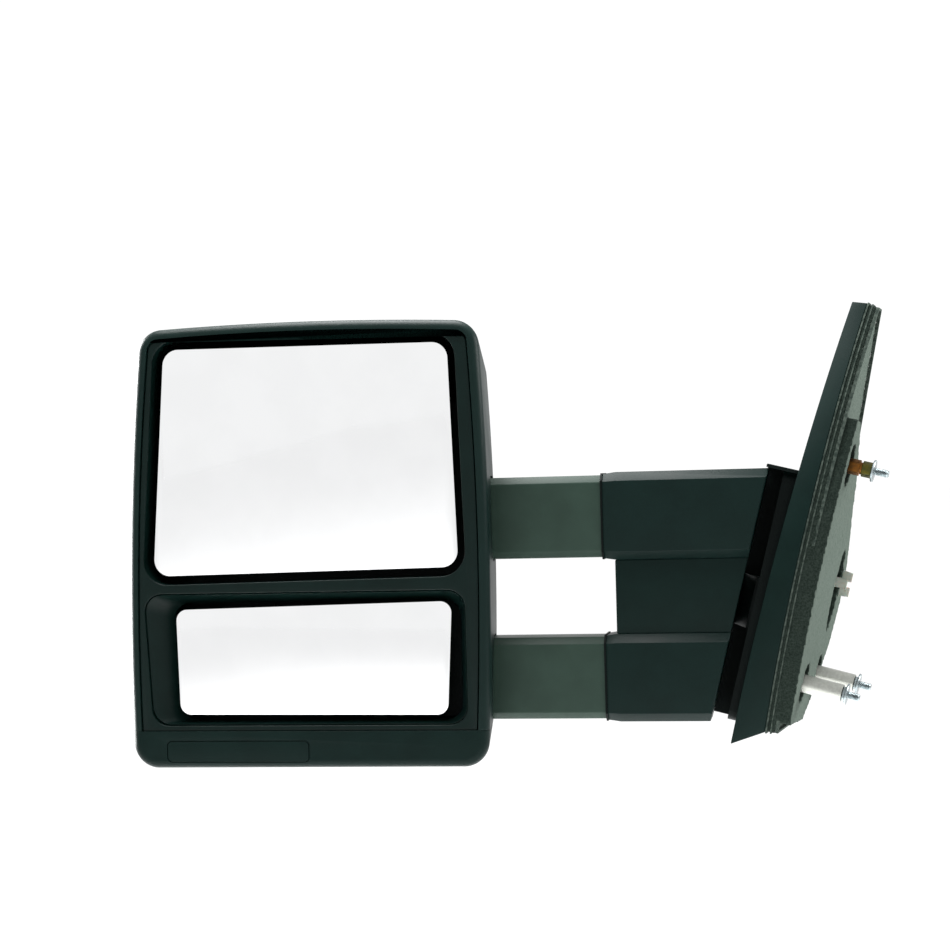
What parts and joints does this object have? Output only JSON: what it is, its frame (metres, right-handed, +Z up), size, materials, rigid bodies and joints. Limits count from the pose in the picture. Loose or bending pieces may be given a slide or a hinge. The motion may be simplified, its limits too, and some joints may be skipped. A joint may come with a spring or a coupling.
{
  "type": "towing mirror",
  "caption": "Door-mounted towing mirror with a sail-shaped base, fold hinge, twin telescoping arms and a head holding two separately tilting glasses.",
  "frame": {"origin": "on the inboard face of the door gasket, level with the middle between the two arms", "axes": "+X inboard towards the door, +Y towards the front of the vehicle, +Z up"},
  "size_m": [0.5883, 0.1728, 0.3492],
  "materials": {
    "shell_black": "fine textured black moulding, semi-matt",
    "trim_black": "fine textured black moulding, semi-matt",
    "bezel_black": "smooth dark moulding",
    "arm_black": "satin black paint on extruded tube",
    "casting_black": "black e-coat on die casting",
    "inner_black": "plain moulded black",
    "nylon_natural": "natural nylon, translucent white",
    "gasket_foam": "flocked closed-cell foam, mottled grey-green",
    "seal_rubber": "soft black rubber lip",
    "mirror_glass": "first-surface mirror",
    "adhesive_foam": "black double-sided foam",
    "zinc": "bright zinc plate",
    "yellow_zinc": "yellow chromate zinc",
    "spacer_aluminium": "satin turned aluminium",
    "spring_steel": "oiled spring steel"
  },
  "bodies": {
    "base": {"base_bracket": "casting_black", "base_cover": "shell_black", "pivot_collar": "casting_black", "hinge_shields": "inner_black", "base_gasket": "gasket_foam", "base_seal_lip": "seal_rubber", "upper_stud": "zinc", "upper_stud_hex": "yellow_zinc", "lower_studs": "zinc", "stud_spacers": "spacer_aluminium", "locating_clip": "nylon_natural", "pivot_post": "zinc", "thrust_washers": "nylon_natural", "pivot_spring": "spring_steel", "spring_cap": "zinc"},
    "carrier": {"carrier_casting": "casting_black", "upper_sleeve": "arm_black", "lower_sleeve": "arm_black", "upper_rail": "arm_black", "lower_rail": "arm_black", "upper_rail_cap": "inner_black", "lower_rail_cap": "inner_black", "mid_cover_rear": "trim_black", "mid_cover_front": "trim_black"},
    "head": {"head_frame": "casting_black", "rail_bushings": "nylon_natural", "frame_posts": "inner_black", "frame_screws": "casting_black", "housing_shell": "shell_black", "bottom_trim": "trim_black", "blank_panel": "trim_black", "bezel": "bezel_black", "upper_pivot_socket": "inner_black", "lower_pivot_socket": "inner_black"},
    "upper_tilt": {"upper_gimbal": "nylon_natural"},
    "upper_mirror": {"upper_glass_carrier": "inner_black", "upper_glass_pad": "adhesive_foam", "upper_glass": "mirror_glass"},
    "lower_tilt": {"lower_gimbal": "nylon_natural"},
    "lower_mirror": {"lower_glass_carrier": "inner_black", "lower_glass_pad": "adhesive_foam", "lower_glass": "mirror_glass"}
  },
  "joints": [
    {"name": "fold", "type": "hinge", "parent": "base", "child": "carrier", "pos_m": [-0.0838, 0, 0], "axis": [0.247, 0, 0.969], "range_deg": [-50, 80]},
    {"name": "extend", "type": "slide", "parent": "carrier", "child": "head", "axis": [1, 0, 0], "range_m": [0, 0.078]},
    {"name": "upper_tilt_x", "type": "hinge", "parent": "head", "child": "upper_tilt", "pos_m": [-0.396, -0.038, 0.1125], "axis": [1, 0, 0], "range_deg": [-6, 6]},
    {"name": "upper_pan_z", "type": "hinge", "parent": "upper_tilt", "child": "upper_mirror", "pos_m": [-0.396, -0.038, 0.1125], "axis": [0, 0, 1], "range_deg": [-6, 6]},
    {"name": "lower_tilt_x", "type": "hinge", "parent": "head", "child": "lower_tilt", "pos_m": [-0.391, -0.038, -0.0427], "axis": [1, 0, 0], "range_deg": [-6, 6]},
    {"name": "lower_pan_z", "type": "hinge", "parent": "lower_tilt", "child": "lower_mirror", "pos_m": [-0.391, -0.038, -0.0427], "axis": [0, 0, 1], "range_deg": [-6, 6]}
  ]
}
